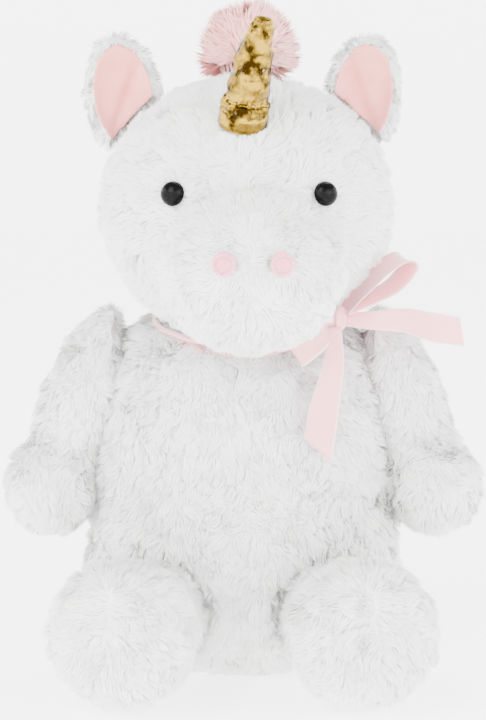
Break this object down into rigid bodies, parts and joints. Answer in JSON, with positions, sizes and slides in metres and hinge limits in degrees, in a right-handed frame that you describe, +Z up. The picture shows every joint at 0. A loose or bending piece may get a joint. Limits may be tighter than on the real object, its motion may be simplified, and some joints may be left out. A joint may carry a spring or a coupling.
{
  "type": "plush unicorn",
  "caption": "Seated soft toy unicorn with a gathered gold horn, pink-lined ears, short mane, ribbon bow, sewn arms and legs and a bean-weighted base.",
  "frame": {"origin": "on the surface the toy sits on, under the middle of the torso's base panel", "axes": "+Z up, the face looks along -Y, +X to the right when the toy is seen from the front"},
  "size_m": [0.2546, 0.225, 0.351],
  "materials": {
    "white_plush": "matte",
    "pink_velour": "matte",
    "pink_pile": "matte",
    "gold_lame": "gloss",
    "gold_thread": "satin",
    "black_eye": "gloss",
    "white_plastic": "matte",
    "pink_thread": "satin",
    "pink_satin": "satin",
    "fibre_fill": "matte",
    "pouch_cloth": "matte",
    "plastic_beans": "matte"
  },
  "bodies": {
    "torso": {"torso_front_left_panel": "white_plush", "torso_front_right_panel": "white_plush", "torso_back_left_panel": "white_plush", "torso_back_right_panel": "white_plush", "torso_base_panel": "white_plush", "torso_stuffing": "fibre_fill", "bean_pouch": "pouch_cloth", "bean_filling": "plastic_beans"},
    "head": {"head_gusset": "white_plush", "chin_gusset": "white_plush", "head_side_left_panel": "white_plush", "head_side_right_panel": "white_plush", "muzzle_panel": "white_plush", "head_stuffing": "fibre_fill", "eye_left": "black_eye", "eye_right": "black_eye", "eye_washer_left": "white_plastic", "eye_washer_right": "white_plastic", "nostril_left": "pink_thread", "nostril_right": "pink_thread", "mane_forelock": "pink_pile", "mane_crest": "pink_pile", "ribbon_neckband": "pink_satin", "ribbon_knot": "pink_satin", "ribbon_loop_upper": "pink_satin", "ribbon_loop_lower": "pink_satin"},
    "horn": {"horn_cover": "gold_lame", "horn_stuffing": "fibre_fill", "horn_wrap_lower": "gold_thread", "horn_wrap_upper": "gold_thread", "horn_tip_knot": "gold_lame"},
    "side_tail": {"ribbon_side_tail": "pink_satin"},
    "hanging_tail": {"ribbon_hanging_tail": "pink_satin"},
    "tail": {"tail_tuft": "pink_pile"},
    "ear_left": {"ear_left_back": "white_plush", "ear_left_lining": "pink_velour"},
    "arm_left": {"arm_left_outer_panel": "white_plush", "arm_left_inner_panel": "white_plush", "arm_left_stuffing": "fibre_fill"},
    "leg_left": {"leg_left_outer_panel": "white_plush", "leg_left_inner_panel": "white_plush", "leg_left_sole": "white_plush", "leg_left_stuffing": "fibre_fill"},
    "ear_right": {"ear_right_back": "white_plush", "ear_right_lining": "pink_velour"},
    "arm_right": {"arm_right_outer_panel": "white_plush", "arm_right_inner_panel": "white_plush", "arm_right_stuffing": "fibre_fill"},
    "leg_right": {"leg_right_outer_panel": "white_plush", "leg_right_inner_panel": "white_plush", "leg_right_sole": "white_plush", "leg_right_stuffing": "fibre_fill"}
  },
  "joints": [
    {"name": "head_turn", "type": "hinge", "parent": "torso", "child": "head", "pos_m": [0, -0.008, 0.19], "axis": [0, -0.342, 0.9397], "range_deg": [-18, 18], "stiffness_Nm_per_rad": 0.6},
    {"name": "horn_flex", "type": "hinge", "parent": "head", "child": "horn", "pos_m": [0.0005, -0.063, 0.2977], "axis": [1, 0, 0], "range_deg": [-8, 8], "stiffness_Nm_per_rad": 0.05},
    {"name": "side_tail_flutter", "type": "hinge", "parent": "head", "child": "side_tail", "pos_m": [0.0485, -0.0503, 0.193], "axis": [0, -1, 0], "range_deg": [-12, 10], "stiffness_Nm_per_rad": 0.002},
    {"name": "hanging_tail_sway", "type": "hinge", "parent": "head", "child": "hanging_tail", "pos_m": [0.0485, -0.0635, 0.187], "axis": [0, 1, 0], "range_deg": [-12, 12], "stiffness_Nm_per_rad": 0.001},
    {"name": "tail_wag", "type": "hinge", "parent": "torso", "child": "tail", "pos_m": [0, 0.067, 0.044], "axis": [0, 0, 1], "range_deg": [-10, 10], "stiffness_Nm_per_rad": 0.02},
    {"name": "ear_left_flex", "type": "hinge", "parent": "head", "child": "ear_left", "pos_m": [-0.062, -0.01, 0.284], "axis": [0.6, 0, 0.8], "range_deg": [-12, 12], "stiffness_Nm_per_rad": 0.05},
    {"name": "arm_left_swing", "type": "hinge", "parent": "torso", "child": "arm_left", "pos_m": [-0.06389, -0.006, 0.178], "axis": [-0.9848, 0, 0.1736], "range_deg": [-20, 40], "stiffness_Nm_per_rad": 0.25},
    {"name": "leg_left_splay", "type": "hinge", "parent": "torso", "child": "leg_left", "pos_m": [-0.044, -0.038, 0.0394], "axis": [0, 0, -1], "range_deg": [-10, 20], "stiffness_Nm_per_rad": 0.4},
    {"name": "ear_right_flex", "type": "hinge", "parent": "head", "child": "ear_right", "pos_m": [0.062, -0.01, 0.284], "axis": [-0.6, 0, 0.8], "range_deg": [-12, 12], "stiffness_Nm_per_rad": 0.05},
    {"name": "arm_right_swing", "type": "hinge", "parent": "torso", "child": "arm_right", "pos_m": [0.06389, -0.006, 0.178], "axis": [-0.9848, 0, -0.1736], "range_deg": [-20, 40], "stiffness_Nm_per_rad": 0.25},
    {"name": "leg_right_splay", "type": "hinge", "parent": "torso", "child": "leg_right", "pos_m": [0.044, -0.038, 0.0394], "axis": [0, 0, 1], "range_deg": [-10, 20], "stiffness_Nm_per_rad": 0.4}
  ]
}
